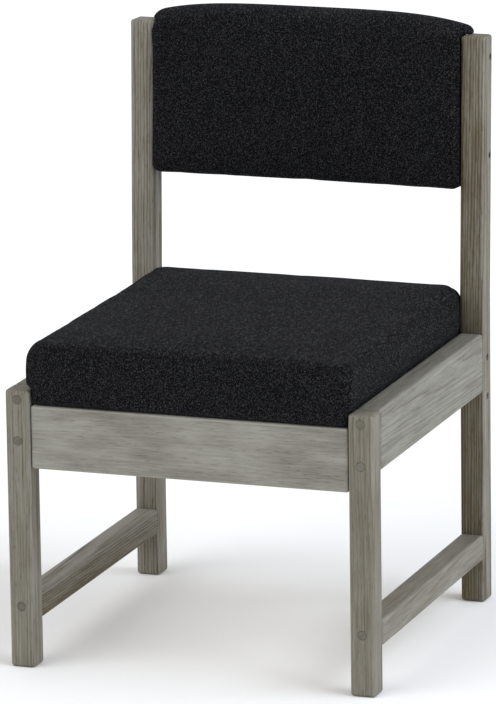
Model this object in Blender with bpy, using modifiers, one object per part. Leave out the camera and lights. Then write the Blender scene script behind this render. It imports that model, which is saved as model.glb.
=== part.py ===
"""Dining side chair: a grey-stained wooden frame with an upholstered seat and back.

Metres, +Z up. The chair stands on Z = 0 and faces -Y, with X = 0 midway between its sides and
Y = 0 midway between its foremost and rearmost points. The two rear legs run on above the seat as
posts that carry the back, and lean back a little from BEND_HEIGHT upwards.
"""

import math

import bmesh
import bpy
from mathutils import Matrix, Vector

# Wooden frame
WIDTH = 0.520  # over the outer faces of the legs
DEPTH = 0.520  # front face of the front legs to rear face of the posts, at the floor
LEG = 0.035  # square section of the legs and posts
FRAME_TOP = 0.386  # top of the front legs and of the side rails
POST_LENGTH = 0.8005  # rear posts, along the wood
BEND_HEIGHT = 0.442  # where the posts start to lean back
LEAN = math.radians(2.2)
RAIL_THICKNESS = 0.034
RAIL_HEIGHT = 0.083
STRETCHER_THICKNESS = 0.034
STRETCHER_HEIGHT = 0.036
STRETCHER_BOTTOM = 0.062
APRON_THICKNESS = 0.022
APRON_HEIGHT = 0.0875
APRON_DROP = 0.0205  # aprons' top, below the side rails' top
APRON_SETBACK = 0.002  # front apron, behind the legs' front faces
CLEAT_WIDTH = 0.028
CLEAT_HEIGHT = 0.022
CLEAT_END_SPACE = 0.030  # from a cleat's end to the apron
EDGE = 0.004  # rounding of the frame's edges
SMALL_EDGE = 0.0015  # easing of the cleats' edges
EDGE_SEGMENTS = 2

# Clearances
GAP = 0.0003  # between pieces that touch
SEAT_FIT = 0.0015  # seat to the legs and posts, each side
BACK_FIT = 0.0015  # back to the posts, each side

# Upholstery
COVER = 0.0015  # fabric thickness
SEAT_BOARD = 0.012
SEAT_RISE = 0.063  # top of the seat at its edges, above the side rails
SEAT_CROWN = 0.008  # rise of the middle above the edges
SEAT_REAR_SPACE = 0.006  # seat's rear, in front of the posts' rear faces
SEAT_SIDE_SWELL = 0.009  # seat over the side rails
SEAT_FRONT_SWELL = 0.004  # seat in front of the legs
SEAT_ROUND = 0.030  # rounding of the seat's upper edges
SEAT_TUCK = 0.003  # draw-in of the sides at the bottom
SEAT_HEM = 0.011  # cover turned under the board
SEAT_EASE = 0.030  # the side swell runs out over this length in front of the posts
BACK_BOARD = 0.015
BACK_HEIGHT = 0.2275  # at its ends
BACK_RISE = 0.0130  # back's upper corners, above the posts
BACK_CROWN = 0.014  # rise of the upper edge in the middle
BACK_PROUD = 0.011  # back in front of the posts
BACK_REAR_SPACE = 0.0005  # back's rear, in front of the posts' rear faces
BACK_SWELL = 0.006  # back's front, over the posts
BACK_ROUND = 0.020  # rounding of the back's outline
BACK_BELLY = 0.003  # swell of the back's front face

# Fasteners
SHANK_RADIUS = 0.0025
HEAD_RADIUS = 0.0045
HEAD_HEIGHT = 0.0035
SOCKET_RADIUS = 0.0022
SOCKET_DEPTH = 0.0020
HEAD_RECESS = 0.0015  # bare heads, below the wood's surface
PLUG_RADIUS = 0.0060
PLUG_LENGTH = 0.0080
FRAME_SCREW = 0.075  # length under the surface, into rails, stretchers and rear apron
RAIL_SCREW_EDGE = 0.013  # from the rail's upper and lower edges
STRETCHER_SCREW_RISE = 0.005  # above the stretcher's middle
APRON_SCREW_EDGE = 0.016  # from the rear apron's upper and lower edges
BACK_SCREW = 0.070
BACK_SCREW_RISE = 0.047  # lower back screws, above the back's lower edge
BACK_SCREW_DROP = 0.0435  # upper back screws, below the back's upper edge
CLEAT_SCREW = 0.046
CLEAT_SCREW_END = 0.034  # from the cleat's ends
SEAT_SCREW = 0.033
SEAT_SCREW_END = 0.104  # from the cleat's ends
SEAT_SCREW_SPACE = 0.003  # from a seat screw's side to the cover's hem
DOWEL_RADIUS = 0.004
DOWEL_LENGTH = 0.030
DOWEL_EDGE = 0.0205  # from the front apron's upper and lower edges
OVERSHOOT = 0.010  # cutters run this far past the surface
ROUND_STEPS = 12

# Places that several pieces share. "Chair" Y is measured from the front legs' front faces.
REAR_REACH = DEPTH + (POST_LENGTH - BEND_HEIGHT) * math.sin(LEAN)
FRONT_Y = -(REAR_REACH - SEAT_FRONT_SWELL) / 2
LEG_X = WIDTH / 2 - LEG / 2
LEG_INSIDE = WIDTH / 2 - LEG
RAIL_INSIDE = LEG_X - RAIL_THICKNESS / 2
FRONT_LEG_Y = FRONT_Y + LEG / 2
POST_Y = FRONT_Y + DEPTH - LEG / 2
POST_FRONT_Y = POST_Y - LEG / 2
POST_REAR_Y = POST_Y + LEG / 2
RAIL_Z = FRAME_TOP - RAIL_HEIGHT / 2
STRETCHER_Z = STRETCHER_BOTTOM + STRETCHER_HEIGHT / 2
APRON_TOP = FRAME_TOP - APRON_DROP
APRON_BOTTOM = APRON_TOP - APRON_HEIGHT
APRON_Z = APRON_TOP - APRON_HEIGHT / 2
FRONT_APRON_Y = FRONT_Y + APRON_SETBACK + APRON_THICKNESS / 2
SEAT_TOP = FRAME_TOP + SEAT_RISE
BACK_TOP = POST_LENGTH + BACK_RISE
BACK_BOTTOM = BACK_TOP - BACK_HEIGHT
SIDES = {"left": -1, "right": 1}

INTO = {  # turns that point a fastener's +Z along each direction
    "+Y": (-math.pi / 2, 0, 0),
    "-Y": (math.pi / 2, 0, 0),
    "+X": (0, math.pi / 2, 0),
    "-X": (0, -math.pi / 2, 0),
    "+Z": (0, 0, 0),
}


def clear_scene():
    for obj in list(bpy.data.objects):
        bpy.data.objects.remove(obj, do_unlink=True)


def new_collection(name):
    collection = bpy.data.collections.new(name)
    bpy.context.scene.collection.children.link(collection)
    return collection


def new_material(name, colour, roughness, metallic=0.0):
    material = bpy.data.materials.new(name)
    material.use_nodes = True
    shader = material.node_tree.nodes["Principled BSDF"]
    shader.inputs["Base Color"].default_value = (*colour, 1.0)
    shader.inputs["Roughness"].default_value = roughness
    shader.inputs["Metallic"].default_value = metallic
    material.diffuse_color = (*colour, 1.0)
    return material


def add_object(name, mesh, collection, place=(0, 0, 0), turn=(0, 0, 0), parent=None):
    obj = bpy.data.objects.new(name, mesh)
    obj.location = place
    obj.rotation_euler = turn
    obj.parent = parent
    collection.objects.link(obj)
    return obj


def mesh_from(name, shape):
    mesh = bpy.data.meshes.new(name)
    shape.to_mesh(mesh)
    shape.free()
    return mesh


def box_shape(size):
    shape = bmesh.new()
    bmesh.ops.create_cube(shape, size=1.0)
    bmesh.ops.scale(shape, vec=Vector(size), verts=shape.verts)
    return shape


def add_bevel(obj, width):
    bevel = obj.modifiers.new("Rounded edges", "BEVEL")
    bevel.width = width
    bevel.segments = EDGE_SEGMENTS
    bevel.limit_method = "ANGLE"


def wood(name, size, place, material, edge=EDGE):
    """A straight piece of wood, its middle at place, with rounded edges."""
    obj = add_object(name, mesh_from(name, box_shape(size)), PARTS, place)
    obj.data.materials.append(material)
    add_bevel(obj, edge)
    return obj


def post(name, x):
    """A rear leg that turns back by LEAN about X at BEND_HEIGHT."""
    shape = box_shape((LEG, LEG, POST_LENGTH))
    bmesh.ops.translate(shape, vec=(0, 0, POST_LENGTH / 2), verts=shape.verts)
    bend = Vector((0, 0, BEND_HEIGHT))
    every = shape.verts[:] + shape.edges[:] + shape.faces[:]
    bmesh.ops.bisect_plane(shape, geom=every, plane_co=bend, plane_no=(0, 0, 1))
    upper = [v for v in shape.verts if v.co.z > BEND_HEIGHT + EDGE]
    bmesh.ops.rotate(shape, cent=bend, matrix=Matrix.Rotation(-LEAN, 3, "X"), verts=upper)
    obj = add_object(name, mesh_from(name, shape), PARTS, (x, POST_Y, 0))
    obj.data.materials.append(STAINED_WOOD)
    add_bevel(obj, EDGE)
    return obj


def turned(name, profile, collection, place, into, parent):
    """A solid turned about its own Z from (radius, Z) points, listed from the top down."""
    mesh = bpy.data.meshes.new(name)
    points = [(radius, 0, z) for radius, z in profile]
    mesh.from_pydata(points, [(i, i + 1) for i in range(len(points) - 1)], [])
    obj = add_object(name, mesh, collection, place, INTO[into], parent)
    screw = obj.modifiers.new("Turn", "SCREW")
    screw.steps = screw.render_steps = ROUND_STEPS
    screw.use_merge_vertices = True
    screw.merge_threshold = 0.00001
    screw.use_smooth_shade = False
    return obj


def cut(pieces, cutter):
    """Cuts the cutter's shape out of each piece."""
    cutter.hide_render = True
    cutter.display_type = "WIRE"
    for piece in pieces:
        boolean = piece.modifiers.new("Cut " + cutter.name, "BOOLEAN")
        boolean.operation = "DIFFERENCE"
        boolean.object = cutter


def fastener(name, pieces, place, into, length, head_at, bore=0.0, parent=None):
    """A screw that enters the surface at place and reaches length below it.

    head_at is the depth of the head's outer face, below zero where it stands proud. bore is the
    radius of the hole that sinks the head, or 0 for a head on the surface. pieces get the hole.
    """
    head_end = head_at + HEAD_HEIGHT
    screw = turned(
        name,
        [
            (0, length),
            (SHANK_RADIUS / 2, length),
            (SHANK_RADIUS, length - 2 * SHANK_RADIUS),
            (SHANK_RADIUS, head_end),
            (HEAD_RADIUS, head_end),
            (HEAD_RADIUS, head_at),
            (SOCKET_RADIUS, head_at),
            (SOCKET_RADIUS, head_at + SOCKET_DEPTH),
            (0, head_at + SOCKET_DEPTH),
        ],
        PARTS,
        place,
        into,
        parent,
    )
    screw.data.materials.append(DARK_STEEL)
    hole = SHANK_RADIUS + GAP
    profile = [(0, length + GAP), (hole, length + GAP)]
    if bore:
        profile += [(hole, head_end + GAP), (bore, head_end + GAP), (bore, -OVERSHOOT)]
    else:
        profile += [(hole, -OVERSHOOT)]
    profile += [(0, -OVERSHOOT)]
    cut(pieces, turned(name + "_hole", profile, CUTTERS, place, into, parent))
    return screw


def plugged_screw(name, pieces, place, into):
    """A sunk screw under a wooden plug that is flush with the surface."""
    fastener(name + "_screw", pieces, place, into, FRAME_SCREW, PLUG_LENGTH + GAP, PLUG_RADIUS + GAP)
    profile = [(0, PLUG_LENGTH), (PLUG_RADIUS, PLUG_LENGTH), (PLUG_RADIUS, 0), (0, 0)]
    plug = turned(name + "_plug", profile, PARTS, place, into, None)
    plug.data.materials.append(PLUG_WOOD)


def bare_screw(name, pieces, place, into, length, parent=None):
    """A screw with its head sunk just below the surface."""
    return fastener(name, pieces, place, into, length, HEAD_RECESS, HEAD_RADIUS + GAP, parent)


def proud_screw(name, pieces, place, into, length):
    """A screw with its head on the surface."""
    return fastener(name, pieces, place, into, length, -HEAD_HEIGHT - GAP)


def dowel(name, pieces, place, into):
    """A pin half in each of two pieces, its middle at place."""
    half = DOWEL_LENGTH / 2
    profile = [(0, half), (DOWEL_RADIUS, half), (DOWEL_RADIUS, -half), (0, -half)]
    pin = turned(name, profile, PARTS, place, into, None)
    pin.data.materials.append(DOWEL_WOOD)
    radius = DOWEL_RADIUS + GAP
    profile = [(0, half + GAP), (radius, half + GAP), (radius, -half - GAP), (0, -half - GAP)]
    cut(pieces, turned(name + "_hole", profile, CUTTERS, place, into, None))


def cage_shape(xs, ys, zs):
    """A closed box with a loop of edges at each inner X, Y and Z value."""
    low = Vector((xs[0], ys[0], zs[0]))
    high = Vector((xs[-1], ys[-1], zs[-1]))
    shape = box_shape(high - low)
    bmesh.ops.translate(shape, vec=(low + high) / 2, verts=shape.verts)
    for axis, values in enumerate((xs, ys, zs)):
        normal = Vector([float(i == axis) for i in range(3)])
        for value in values[1:-1]:
            every = shape.verts[:] + shape.edges[:] + shape.faces[:]
            bmesh.ops.bisect_plane(shape, geom=every, plane_co=normal * value, plane_no=normal)
    return shape


def soft_solid(name, shape, inset, parent, material):
    """The cage made smooth, drawn in by inset all over."""
    obj = add_object(name, mesh_from(name, shape), PARTS, parent=parent)
    obj.data.materials.append(material)
    obj.data.shade_smooth()
    smooth = obj.modifiers.new("Soft form", "SUBSURF")
    smooth.levels = smooth.render_levels = 1
    draw_in = obj.modifiers.new("Inside the cover", "DISPLACE")
    draw_in.strength = -inset
    draw_in.mid_level = 0.0
    return obj


def soft_cover(name, shape, opening, parent):
    """Fabric over the cage's smooth form, left open where opening(face centre) is true."""
    shape.faces.ensure_lookup_table()
    gone = [face for face in shape.faces if opening(face.calc_center_median())]
    bmesh.ops.delete(shape, geom=gone, context="FACES")
    obj = add_object(name, mesh_from(name, shape), PARTS, parent=parent)
    obj.data.materials.append(FABRIC)
    obj.data.shade_smooth()
    smooth = obj.modifiers.new("Soft form", "SUBSURF")
    smooth.levels = smooth.render_levels = 1
    shell = obj.modifiers.new("Fabric", "SOLIDIFY")
    shell.thickness = COVER
    shell.offset = -1
    return obj


def keep_slab(obj, low, high, parent):
    """Keeps what lies between two corners, in the parent's frame."""
    low, high = Vector(low), Vector(high)
    name = obj.name + "_slab"
    mesh = mesh_from(name, box_shape(high - low))
    slab = add_object(name, mesh, CUTTERS, (low + high) / 2, parent=parent)
    slab.hide_render = True
    slab.display_type = "WIRE"
    boolean = obj.modifiers.new("Keep", "BOOLEAN")
    boolean.operation = "INTERSECT"
    boolean.object = slab


def moved(value, moves):
    """The new place of a loop of edges, or its old one where moves doesn't list it."""
    for old, new in moves.items():
        if abs(value - old) < GAP / 10:
            return new
    return value


def seat_shape():
    """The seat's outer form: tucked in below, swelling over the frame, crowned on top."""
    half = LEG_INSIDE - SEAT_FIT
    front = FRONT_Y
    rear = POST_REAR_Y - SEAT_REAR_SPACE
    middle = (front + rear) / 2
    bottom = APRON_TOP + GAP
    over_frame = FRAME_TOP + EDGE
    waist = (over_frame + SEAT_TOP - SEAT_ROUND) / 2
    third = (half - SEAT_ROUND) / 3
    before_posts = POST_FRONT_Y - SEAT_EASE
    xs = [-half, SEAT_ROUND - half, -third, third, half - SEAT_ROUND, half]
    ys = [front, front + SEAT_ROUND, middle - third, middle + third, before_posts]
    ys += [rear - SEAT_ROUND, rear]
    zs = [bottom, bottom + SEAT_ROUND / 3, over_frame, waist, SEAT_TOP - SEAT_ROUND / 2, SEAT_TOP]
    tucked = half - SEAT_TUCK
    hem = tucked - SEAT_HEM
    under_x = {xs[0]: -tucked, xs[1]: -hem, xs[-2]: hem, xs[-1]: tucked}
    under_y = {ys[0]: front + SEAT_TUCK, ys[1]: front + SEAT_TUCK + SEAT_HEM}
    under_y |= {ys[-2]: rear - SEAT_TUCK - SEAT_HEM, ys[-1]: rear - SEAT_TUCK}
    shape = cage_shape(xs, ys, zs)
    for vertex in shape.verts:
        x, y, z = vertex.co
        across = x / half
        along = (y - middle) / (rear - middle)
        if z < bottom + GAP:
            vertex.co.x = moved(x, under_x)
            vertex.co.y = moved(y, under_y)
        if z > over_frame + GAP:
            swell = 1.0 if z < SEAT_TOP - SEAT_ROUND else 0.7
            if y < before_posts + GAP:
                vertex.co.x += across * SEAT_SIDE_SWELL * swell
            if along < 0:
                vertex.co.y += along * SEAT_FRONT_SWELL * swell
        if z > SEAT_TOP - GAP:
            vertex.co.z += SEAT_CROWN * (1 - across**2) * (1 - along**2)
    return shape


def back_shape():
    """The back's outer form in the leaning frame: full in front, flat behind, crowned on top."""
    half = LEG_INSIDE - BACK_FIT
    front = -LEG / 2 - BACK_PROUD
    at_posts = -LEG / 2 - GAP
    rear = LEG / 2 - BACK_REAR_SPACE
    bottom = BACK_BOTTOM - BEND_HEIGHT
    top = BACK_TOP - BEND_HEIGHT
    middle = (bottom + top) / 2
    third = (half - BACK_ROUND) / 3
    shoulder = 2.2 * third
    rise = (top - bottom) / 6
    xs = [-half, BACK_ROUND - half, -shoulder, -third, third, shoulder, half - BACK_ROUND, half]
    ys = [front, at_posts, rear - BACK_ROUND / 2, rear]
    zs = [bottom, bottom + BACK_ROUND, middle - rise, middle + rise, top - BACK_ROUND, top]
    shape = cage_shape(xs, ys, zs)
    for vertex in shape.verts:
        x, y, z = vertex.co
        across = x / half
        up = (z - middle) / (top - middle)
        if y < at_posts - GAP:
            vertex.co.x += across * BACK_SWELL
            vertex.co.y -= BACK_BELLY * (1 - across**2) * (1 - up**2)
        if up > 0:
            vertex.co.z += up * BACK_CROWN * (1 - across**4)
    return shape


def build_frame():
    """Legs, posts, rails, stretchers, aprons and cleats, and what fastens them."""
    rear_apron_y = POST_Y
    span = POST_FRONT_Y - (FRONT_Y + LEG)
    run_y = POST_FRONT_Y - span / 2
    apron_width = 2 * (LEG_INSIDE - GAP)
    apron = (apron_width, APRON_THICKNESS, APRON_HEIGHT)
    front_apron = wood("front_apron", apron, (0, FRONT_APRON_Y, APRON_Z), STAINED_WOOD)
    rear_apron = wood("rear_apron", apron, (0, rear_apron_y, APRON_Z), STAINED_WOOD)
    cleat_front = FRONT_APRON_Y + APRON_THICKNESS / 2 + CLEAT_END_SPACE
    cleat_rear = rear_apron_y - APRON_THICKNESS / 2 - CLEAT_END_SPACE
    cleat_y = (cleat_front + cleat_rear) / 2
    cleat_z = APRON_TOP - CLEAT_HEIGHT / 2
    cleat_ends = {"front": (cleat_front, 1), "rear": (cleat_rear, -1)}
    cleats = {}
    for side, sign in SIDES.items():
        x = sign * LEG_X
        inward = "+X" if sign < 0 else "-X"
        outward = "-X" if sign < 0 else "+X"
        leg_size = (LEG, LEG, FRAME_TOP)
        leg = wood(f"front_leg_{side}", leg_size, (x, FRONT_LEG_Y, FRAME_TOP / 2), STAINED_WOOD)
        rear_post = post(f"rear_post_{side}", x)
        rail_size = (RAIL_THICKNESS, span - 2 * GAP, RAIL_HEIGHT)
        rail = wood(f"side_rail_{side}", rail_size, (x, run_y, RAIL_Z), STAINED_WOOD)
        bar_size = (STRETCHER_THICKNESS, span - 2 * GAP, STRETCHER_HEIGHT)
        bar = wood(f"side_stretcher_{side}", bar_size, (x, run_y, STRETCHER_Z), STAINED_WOOD)
        joints = {
            "rail_upper": (rail, FRAME_TOP - RAIL_SCREW_EDGE),
            "rail_lower": (rail, FRAME_TOP - RAIL_HEIGHT + RAIL_SCREW_EDGE),
            "stretcher": (bar, STRETCHER_Z + STRETCHER_SCREW_RISE),
        }
        for what, (piece, z) in joints.items():
            name = f"{what}_{side}"
            plugged_screw(f"front_{name}", (leg, piece), (x, FRONT_Y, z), "+Y")
            mouth = (x, POST_REAR_Y, z)
            bare_screw(f"rear_{name}_screw", (rear_post, piece), mouth, "-Y", FRAME_SCREW)
        for level, edge, up in (("lower", APRON_BOTTOM, 1), ("upper", APRON_TOP, -1)):
            place = (sign * LEG_INSIDE, FRONT_APRON_Y, edge + up * DOWEL_EDGE)
            dowel(f"front_apron_dowel_{level}_{side}", (leg, front_apron), place, inward)
            mouth = (sign * WIDTH / 2, rear_apron_y, edge + up * APRON_SCREW_EDGE)
            name = f"rear_apron_screw_{level}_{side}"
            bare_screw(name, (rear_post, rear_apron), mouth, inward, FRAME_SCREW)
        cleat_x = sign * (RAIL_INSIDE - GAP - CLEAT_WIDTH / 2)
        cleat_size = (CLEAT_WIDTH, cleat_rear - cleat_front, CLEAT_HEIGHT)
        place = (cleat_x, cleat_y, cleat_z)
        cleat = wood(f"seat_cleat_{side}", cleat_size, place, BARE_WOOD, SMALL_EDGE)
        for end, (end_y, inwards) in cleat_ends.items():
            y = end_y + inwards * CLEAT_SCREW_END
            mouth = (cleat_x - sign * CLEAT_WIDTH / 2, y, cleat_z)
            proud_screw(f"cleat_screw_{end}_{side}", (cleat, rail), mouth, outward, CLEAT_SCREW)
        cleats[side] = cleat
        POSTS[side] = rear_post
    return cleats, cleat_ends


def build_seat(cleats, cleat_ends):
    """Board, foam and cover, held by screws up through the cleats."""
    inset = COVER + GAP
    bottom = APRON_TOP + GAP
    board_top = bottom + inset + SEAT_BOARD
    board = soft_solid("seat_board", seat_shape(), inset, None, PLYWOOD)
    keep_slab(board, (-WIDTH, -DEPTH, 0), (WIDTH, DEPTH, board_top), None)
    foam = soft_solid("seat_foam", seat_shape(), inset, None, FOAM)
    keep_slab(foam, (-WIDTH, -DEPTH, board_top + GAP), (WIDTH, DEPTH, POST_LENGTH), None)
    hem_x = LEG_INSIDE - SEAT_FIT - SEAT_TUCK - SEAT_HEM
    hem_front = FRONT_Y + SEAT_TUCK + SEAT_HEM
    hem_rear = POST_REAR_Y - SEAT_REAR_SPACE - SEAT_TUCK - SEAT_HEM

    def under_board(centre):
        low = centre.z < bottom + GAP
        return low and abs(centre.x) < hem_x and hem_front < centre.y < hem_rear

    soft_cover("seat_cover", seat_shape(), under_board, None)
    for side, sign in SIDES.items():
        x = sign * (hem_x - SEAT_SCREW_SPACE - SHANK_RADIUS)
        for end, (end_y, inwards) in cleat_ends.items():
            mouth = (x, end_y + inwards * SEAT_SCREW_END, APRON_TOP - CLEAT_HEIGHT)
            proud_screw(f"seat_screw_{end}_{side}", (cleats[side], board), mouth, "+Z", SEAT_SCREW)


def build_back():
    """Board, foam and cover between the posts, held by screws through them."""
    lean = bpy.data.objects.new("back_lean", None)
    lean.location = (0, POST_Y, BEND_HEIGHT)
    lean.rotation_euler = (-LEAN, 0, 0)
    lean.empty_display_size = LEG
    PARTS.objects.link(lean)
    inset = COVER + GAP
    board_rear = LEG / 2 - BACK_REAR_SPACE - inset
    board_front = board_rear - BACK_BOARD
    board = soft_solid("back_board", back_shape(), inset, lean, PLYWOOD)
    keep_slab(board, (-WIDTH, board_front, 0), (WIDTH, DEPTH, POST_LENGTH), lean)
    foam = soft_solid("back_foam", back_shape(), inset, lean, FOAM)
    keep_slab(foam, (-WIDTH, -DEPTH, 0), (WIDTH, board_front - GAP, POST_LENGTH), lean)
    bottom = BACK_BOTTOM - BEND_HEIGHT
    slot_x = LEG_INSIDE - BACK_FIT - BACK_ROUND
    slot_rear = LEG / 2 - BACK_REAR_SPACE - BACK_ROUND / 2

    def below(centre):
        low = centre.z < bottom + GAP
        return low and abs(centre.x) < slot_x and -LEG / 2 < centre.y < slot_rear

    cover = soft_cover("back_cover", back_shape(), below, lean)
    heights = {"lower": BACK_BOTTOM + BACK_SCREW_RISE, "upper": BACK_TOP - BACK_SCREW_DROP}
    for side, sign in SIDES.items():
        inward = "+X" if sign < 0 else "-X"
        for level, height in heights.items():
            mouth = (sign * WIDTH / 2, (board_front + board_rear) / 2, height - BEND_HEIGHT)
            pieces = (POSTS[side], cover, board)
            bare_screw(f"back_screw_{level}_{side}", pieces, mouth, inward, BACK_SCREW, lean)


clear_scene()
PARTS = new_collection("dining_side_chair")
CUTTERS = new_collection("cutters")
STAINED_WOOD = new_material("stained_wood", (0.235, 0.222, 0.188), 0.62)
PLUG_WOOD = new_material("plug_wood", (0.165, 0.150, 0.122), 0.70)
BARE_WOOD = new_material("bare_wood", (0.420, 0.330, 0.215), 0.70)
DOWEL_WOOD = new_material("dowel_wood", (0.520, 0.400, 0.250), 0.65)
PLYWOOD = new_material("plywood", (0.480, 0.370, 0.230), 0.70)
FOAM = new_material("foam", (0.620, 0.580, 0.450), 0.95)
FABRIC = new_material("charcoal_fabric", (0.016, 0.016, 0.018), 0.95)
DARK_STEEL = new_material("dark_steel", (0.045, 0.043, 0.040), 0.45, 0.9)
POSTS = {}
CLEATS, CLEAT_ENDS = build_frame()
build_seat(CLEATS, CLEAT_ENDS)
build_back()
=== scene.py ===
"""Dining side chair: finishes, cushions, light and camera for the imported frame.

Laid out as an add-on and run as a script. The frame's solids stay where they are and get their wood
and steel here. The two cushions are worked out as surfaces, swell in a short cloth simulation, and
stand for the solids of their covers and foam.
"""

import math
from typing import NamedTuple

import bpy
import numpy as np
from bpy.props import FloatProperty, FloatVectorProperty, IntProperty, PointerProperty
from mathutils import Matrix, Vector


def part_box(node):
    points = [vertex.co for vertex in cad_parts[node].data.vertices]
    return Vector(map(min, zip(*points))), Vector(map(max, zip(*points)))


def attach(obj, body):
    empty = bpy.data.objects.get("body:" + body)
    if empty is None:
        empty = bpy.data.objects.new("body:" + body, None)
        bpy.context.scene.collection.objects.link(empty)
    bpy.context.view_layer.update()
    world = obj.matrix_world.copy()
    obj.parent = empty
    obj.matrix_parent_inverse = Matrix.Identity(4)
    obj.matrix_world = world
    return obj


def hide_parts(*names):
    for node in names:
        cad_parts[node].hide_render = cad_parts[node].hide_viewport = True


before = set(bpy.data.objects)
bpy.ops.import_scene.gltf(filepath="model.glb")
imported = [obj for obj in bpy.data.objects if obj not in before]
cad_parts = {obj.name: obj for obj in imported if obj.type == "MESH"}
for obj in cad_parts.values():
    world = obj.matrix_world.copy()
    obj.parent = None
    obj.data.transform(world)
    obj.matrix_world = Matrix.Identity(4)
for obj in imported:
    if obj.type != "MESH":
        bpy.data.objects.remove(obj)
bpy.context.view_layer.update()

bl_info = {
    "name": "Dining side chair",
    "version": (1, 0, 0),
    "blender": (4, 5, 0),
    "location": "3D View > Sidebar > Chair",
    "description": "Grey-stained wooden side chair with an upholstered seat and back",
    "category": "Object",
}

PHOTO_SIZE = (496, 704)

# Sizes read from the frame, in metres
LEG_LOW, LEG_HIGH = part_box("front_leg_right")
APRON_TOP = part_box("front_apron")[1].z
POST_FRONT_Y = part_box("rear_post_right")[0].y
LEG = LEG_HIGH.x - LEG_LOW.x
LEG_INSIDE = LEG_LOW.x
LEG_X = LEG_INSIDE + LEG / 2
FRONT_Y = LEG_LOW.y
FRAME_TOP = LEG_HIGH.z
POST_Y = POST_FRONT_Y + LEG / 2
POST_REAR_Y = POST_FRONT_Y + LEG
POST_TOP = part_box("rear_post_right")[1].z

# Form of the posts and the back that a box doesn't tell, in metres and radians
BEND_HEIGHT = 0.442
LEAN = math.radians(2.2)
POST_EDGE = 0.004  # rounding of the posts' edges
BACK_BOTTOM = 0.586
BACK_TOP = 0.8135

# Fit of the cushions, in metres
CUSHION_FIT = 0.0015  # space beside a leg or post
SLIT = 0.0003  # space above a face that a cushion lies on
LONGEST_OVERHANG = 0.015  # furthest that a cushion may reach over a rail or post
SEAT_REAR_Y = POST_REAR_Y - 0.006
BACK_REAR = LEG / 2 - 0.0008  # from the posts' middle
HEM = 0.014  # width of the seat's cover that is turned under the board
HOLLOW = 0.008  # height of the space within the hem, where the board shows

# Floor, in metres
FLOOR_REACH = 60.0
FLOOR_LINES = 13
FLOOR_DROP = 0.0004  # keeps the floor clear of the feet

# Tolerances, in metres
SAME = 1e-6  # closer than this, two places are one
TINY = 1e-9  # stands for a length of 0 in a division


# Node expressions


class Value:
    """A socket that takes part in Python expressions: each operator adds a Math node."""

    def __init__(self, shader, socket):
        self.shader = shader
        self.socket = socket

    def out(self, name):
        """Another output of the same node."""
        return Value(self.shader, self.socket.node.outputs[name])

    def math(self, operation, *others):
        """A Math node on this value and the others."""
        return self.shader.math(operation, self, *others)

    def __add__(self, other):
        return self.math("ADD", other)

    def __sub__(self, other):
        return self.math("SUBTRACT", other)

    def __mul__(self, other):
        return self.math("MULTIPLY", other)

    def __truediv__(self, other):
        return self.math("DIVIDE", other)

    def __pow__(self, other):
        return self.math("POWER", other)

    def __rsub__(self, other):
        return self.shader.math("SUBTRACT", other, self)

    def __rtruediv__(self, other):
        return self.shader.math("DIVIDE", other, self)

    def __rpow__(self, other):
        return self.shader.math("POWER", other, self)

    def __abs__(self):
        return self.math("ABSOLUTE")

    __radd__ = __add__
    __rmul__ = __mul__

    def above(self, low, high):
        """0 below low, 1 above high, and a smooth step between."""
        sockets = {"Value": self, "From Min": low, "From Max": high}
        return self.shader.node("ShaderNodeMapRange", {"interpolation_type": "SMOOTHSTEP"}, sockets)


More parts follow.
